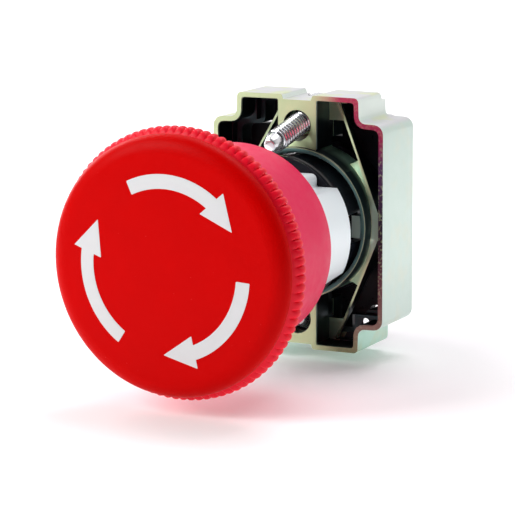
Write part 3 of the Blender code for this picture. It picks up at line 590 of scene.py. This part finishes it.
def arrow_outline():
    """One turn-to-release arrow, clockwise seen from the front, in (x, z)."""
    middle = polar((ARROW_INNER + ARROW_OUTER) / 2, ARROW_NECK)
    slant = polar(1.0, ARROW_HEAD_SLANT)
    neck_out = meet(middle, slant, ARROW_OUTER, 1)
    neck_in = meet(middle, slant, ARROW_INNER, 1)
    parts = [i / ARROW_STEPS for i in range(1, ARROW_STEPS)]
    corners = [(polar(ARROW_OUTER, ARROW_TAIL), True)]
    stop = math.degrees(math.atan2(neck_out.y, neck_out.x))
    corners += [(polar(ARROW_OUTER, ARROW_TAIL + (stop - ARROW_TAIL) * t), False) for t in parts]
    corners += [(neck_out, False), (middle + slant * ARROW_HEAD_HALF, True),
                (polar(ARROW_TIP_RADIUS, ARROW_TIP), True), (middle - slant * ARROW_HEAD_HALF, True),
                (neck_in, False)]
    start = math.degrees(math.atan2(neck_in.y, neck_in.x))
    corners += [(polar(ARROW_INNER, start + (ARROW_TAIL - start) * t), False) for t in parts]
    corners += [(polar(ARROW_INNER, ARROW_TAIL), True)]
    return softened(corners, ARROW_CORNER)


def make_arrows():
    """Printed arrows: a thin skin of ink that follows the dome."""
    outline = arrow_outline()
    for number in range(ARROW_COUNT):
        turn = Matrix.Rotation(-math.tau * number / ARROW_COUNT, 2)
        bm = bmesh.new()
        loops = []
        for lift in (INK_ABOVE, INK_BELOW):
            loop = []
            for point in outline:
                p = turn @ point
                loop.append(bm.verts.new((p.x * MM, (dome(p.length) - lift) * MM, p.y * MM)))
            loops.append(loop)
        for i in range(len(outline)):
            k = (i + 1) % len(outline)
            bm.faces.new((loops[0][i], loops[0][k], loops[1][k], loops[1][i]))
        for loop in loops:
            edges = [bm.edges.get((loop[i], loop[(i + 1) % len(loop)])) for i in range(len(loop))]
            bmesh.ops.triangle_fill(bm, edges=edges, use_beauty=True)
        face_out(bm)
        add_piece(f"release_arrow_{number + 1}", bm, "mushroom_cap", "white_ink", stands_for=False)


# ---- the clamp screws ------------------------------------------------------------------------------
# One turn of a V thread: (part of a turn, height from root to crest), and which of its faces take painted
# shade: the root and the lower front flank.
THREAD_TURN = ((0.0, 0.0), (0.14, 0.0), (0.30, 0.55), (0.42, 1.0), (0.66, 1.0), (0.90, 0.0))
ROOT_FACES = (0, 1, 5)
POINT_RADIUS, POINT_SLOPE = 0.95, 0.33
POINT_NOSE = ((0.0, 0.0), (0.7, 0.0), (0.87, 0.04), (0.97, 0.14), (1.05, 0.3))


def thread_crest(s):
    """Radius of the crests: the point's cone, then the full thread."""
    return min(CLAMP_RADIUS, POINT_RADIUS + POINT_SLOPE * s)


def wind_thread(bm, around):
    """The screw's thread, running out into its core at both ends."""
    turns = int((THREAD_TO - THREAD_FROM) / CLAMP_PITCH) + 3
    stops = [(turn + part, height) for turn in range(-1, turns) for part, height in THREAD_TURN]
    columns = []
    for j in range(around + 1):
        angle = math.tau * j / around
        column = []
        for turned, height in stops:
            s = THREAD_FROM + (turned + j / around) * CLAMP_PITCH
            s = min(max(s, THREAD_FROM), THREAD_TO)
            run_out = min(1.0, (THREAD_TO - s) / CLAMP_PITCH, (s - THREAD_FROM) / CLAMP_PITCH)
            radius = thread_crest(s) - THREAD_DEPTH * (1.0 - height) * run_out
            place = Vector((radius * math.cos(angle), s, radius * math.sin(angle)))
            column.append(bm.verts.new(place * MM))
        columns.append(column)
    for a, b in zip(columns, columns[1:]):
        for i in range(len(a) - 1):
            face = bm.faces.new((a[i], a[i + 1], b[i + 1], b[i]))
            # The root and the lower front flank take the painted shade.
            face.material_index = 1 if i % len(THREAD_TURN) in ROOT_FACES else 0


def make_clamp_screw(which):
    """A cheese-headed screw with a real thread and a cone point."""
    bm = bmesh.new()
    around = 48
    wind_thread(bm, around)
    lathe(bm, [*POINT_NOSE, (thread_crest(THREAD_FROM), THREAD_FROM)], around)
    end = CLAMP_LENGTH + CLAMP_HEAD_HEIGHT
    rounding = 0.4
    head = [(CLAMP_RADIUS, THREAD_TO), (CLAMP_RADIUS - 0.05, THREAD_TO + 0.1),
            (CLAMP_RADIUS - 0.05, CLAMP_LENGTH), (CLAMP_HEAD_RADIUS - 0.15, CLAMP_LENGTH),
            (CLAMP_HEAD_RADIUS, CLAMP_LENGTH + 0.15)]
    head += arc((CLAMP_HEAD_RADIUS - rounding, end - rounding), rounding, 0.0, 90.0, 5) + [(0.0, end)]
    lathe(bm, head, around)
    bmesh.ops.remove_doubles(bm, verts=bm.verts, dist=MERGE / 50)
    bmesh.ops.dissolve_degenerate(bm, edges=bm.edges, dist=MERGE / 50)
    face_out(bm)
    side, tip_y = CLAMP_TIPS[which]
    tip_z = side * (CLAMP_Z + (tip_y - BASE_FRONT) * math.tan(CLAMP_TILT))
    tilt = Matrix.Rotation(side * CLAMP_TILT, 4, "X")
    to_tip = Matrix.Translation(Vector((0.0, tip_y, tip_z)) * MM)
    bmesh.ops.transform(bm, matrix=to_tip @ tilt, verts=bm.verts)
    screw = add_piece(f"threaded_screw_{which}", bm, f"clamp_screw_{which}")
    screw.data.materials.append(FINISHES["thread_root"])


# ---- the springs -----------------------------------------------------------------------------------
def make_spring(node, radius, wire, front, rear, turns):
    """A helix of round wire on the button's axis, its wire's centre going from front to rear."""
    bm = bmesh.new()
    steps_per_turn, around = 36, 12
    steps = int(steps_per_turn * turns)
    pitch = (rear - front) / (turns * math.tau)
    rings = []
    for i in range(steps + 1):
        turned = math.tau * turns * i / steps
        out = Vector((math.cos(turned), 0.0, math.sin(turned)))
        along = Vector((-radius * math.sin(turned), pitch, radius * math.cos(turned))).normalized()
        aside = along.cross(out)
        centre = out * radius + Vector((0.0, front + pitch * turned, 0.0))
        section = []
        for angle in [math.tau * k / around for k in range(around)]:
            offset = (out * math.cos(angle) + aside * math.sin(angle)) * wire
            section.append(bm.verts.new((centre + offset) * MM))
        rings.append(section)
    for a, b in zip(rings, rings[1:]):
        stitch(bm, a, b)
    bm.faces.new(rings[0])
    bm.faces.new(rings[-1])
    face_out(bm)
    return add_piece(f"{node}_wound", bm, node)


def make_springs():
    """The two compression springs shorten as the button is pressed."""
    back = make_spring("return_spring", 3.7, 0.4, -11.3, 4.3, 6)
    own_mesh(back)
    contact = make_spring("contact_spring", 1.9, 0.3, 26.8, 33.2, 6)
    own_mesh(contact)
    make_spring("reset_spring", 6.15, 0.35, -19.5, -18.15, 1.75)


# ---- everything else keeps its solid's shape -------------------------------------------------------
ROUNDED_EDGES = {
    "bezel": 0.18, "barrel": 0.12, "panel_gasket": 0.12, "base_frame": 0.16, "carrier_plate": 0.1,
    "lock_ring": 0.15, "block_plate": 0.15, "block_housing": 0.15, "cap_hub": 0.08, "plunger_foot": 0.1,
    "block_screw_upper": 0.08, "block_screw_lower": 0.08, "terminal_screw_upper": 0.08,
    "terminal_screw_lower": 0.08, "clamp_washer_upper": 0.08, "clamp_washer_lower": 0.08,
}


def make_the_rest():
    for node, edge in ROUNDED_EDGES.items():
        refined(node, edge)
    for node, cad in frame["nodes"].items():
        cad.data.materials.clear()
        cad.data.materials.append(FINISHES[NODE_SLOT[node]])


# ---- stage, lights and camera ----------------------------------------------------------------------
FLOOR_RADIUS, FLOOR_GAP, FLOOR_GLOW = 3.0, 0.0002, 0.15
CAMERA_AZIMUTH, CAMERA_ELEVATION, CAMERA_ROLL, CAMERA_LENS = 26.892, 10.617, -0.246, 180.3
CAMERA_PLACE = (174.47, -351.57, 69.04)


def make_stage():
    """A large white floor just under the object."""
    bm = bmesh.new()
    bmesh.ops.create_circle(bm, cap_ends=True, segments=96, radius=FLOOR_RADIUS)
    data = bpy.data.meshes.new("floor")
    bm.to_mesh(data)
    bm.free()
    floor = bpy.data.objects.new("floor", data)
    floor.location.z = cad_box[0].z - FLOOR_GAP
    bpy.context.scene.collection.objects.link(floor)
    paper = Finish("white_paper", (0.92, 0.92, 0.92), 0.8)
    paper.drive("Base Color", paper.mix(paper.noise(40.0, 3.0), (0.93, 0.93, 0.93), (0.90, 0.90, 0.90)))
    paper.shader.inputs["Emission Color"].default_value = (1.0, 1.0, 1.0, 1.0)
    paper.shader.inputs["Emission Strength"].default_value = FLOOR_GLOW
    data.materials.append(paper.material)


def make_world():
    """White all round, bright behind the object and darker on the camera's side."""
    world = bpy.data.worlds.new("studio")
    bpy.context.scene.world = world
    world.use_nodes = True
    tree = world.node_tree
    background = tree.nodes["Background"]
    place = tree.nodes.new("ShaderNodeTexCoord")
    split = tree.nodes.new("ShaderNodeSeparateXYZ")
    ramp = tree.nodes.new("ShaderNodeMapRange")
    seen = tree.nodes.new("ShaderNodeLightPath")
    choose = tree.nodes.new("ShaderNodeMix")
    for name, value in (("From Min", -0.35), ("From Max", 0.45), ("To Min", 0.02), ("To Max", 0.8)):
        ramp.inputs[name].default_value = value
    tree.links.new(place.outputs["Generated"], split.inputs["Vector"])
    tree.links.new(split.outputs["Y"], ramp.inputs["Value"])
    tree.links.new(seen.outputs["Is Camera Ray"], choose.inputs[0])
    tree.links.new(ramp.outputs["Result"], choose.inputs[2])
    choose.inputs[3].default_value = 1.0
    tree.links.new(choose.outputs[0], background.inputs["Strength"])
    background.inputs["Color"].default_value = (1.0, 1.0, 1.0, 1.0)


def away(azimuth, elevation):
    """The direction from the object by angles in degrees; azimuth 0 is in front and 90 to the right."""
    a, e = math.radians(azimuth), math.radians(elevation)
    return Vector((math.sin(a) * math.cos(e), -math.cos(a) * math.cos(e), math.sin(e)))


def soft_light(name, azimuth, elevation, distance, size, power, colour=(1.0, 1.0, 1.0)):
    """A soft box that faces the object; distance and size are in metres, and power in watts."""
    data = bpy.data.lights.new(name, "AREA")
    data.shape = "RECTANGLE"
    data.size, data.size_y = size
    data.energy = power
    data.color = colour
    back = away(azimuth, elevation)
    light = bpy.data.objects.new(name, data)
    light.location = back * distance
    light.rotation_mode = "QUATERNION"
    light.rotation_quaternion = back.to_track_quat("Z", "Y")
    bpy.context.scene.collection.objects.link(light)


def make_lights():
    soft_light("key", -42.0, 34.0, 0.9, (0.5, 0.5), 6.5)
    soft_light("left", -120.0, 20.0, 0.8, (0.3, 0.7), 3.0, (1.0, 0.95, 1.0))
    soft_light("top", 165.0, 66.0, 1.0, (0.7, 0.5), 5.0, (1.0, 0.94, 1.0))


def make_camera():
    data = bpy.data.cameras.new("camera")
    data.sensor_width, data.lens = 36.0, CAMERA_LENS
    data.clip_start, data.clip_end = 0.01, 20.0
    back = away(CAMERA_AZIMUTH, CAMERA_ELEVATION)
    level = Vector((0.0, 0.0, 1.0)).cross(back).normalized()
    upright = back.cross(level)
    roll = math.radians(CAMERA_ROLL)
    right = level * math.cos(roll) + upright * math.sin(roll)
    up = upright * math.cos(roll) - level * math.sin(roll)
    camera = bpy.data.objects.new("camera", data)
    camera.matrix_world = Matrix((right, up, back)).transposed().to_4x4()
    camera.location = Vector(CAMERA_PLACE) * MM
    bpy.context.scene.collection.objects.link(camera)
    bpy.context.scene.camera = camera


make_cap()
make_arrows()
make_clamp_screw("upper")
make_clamp_screw("lower")
make_springs()
make_the_rest()
make_stage()
make_world()
make_lights()
make_camera()
bpy.context.scene.view_settings.view_transform = "Standard"
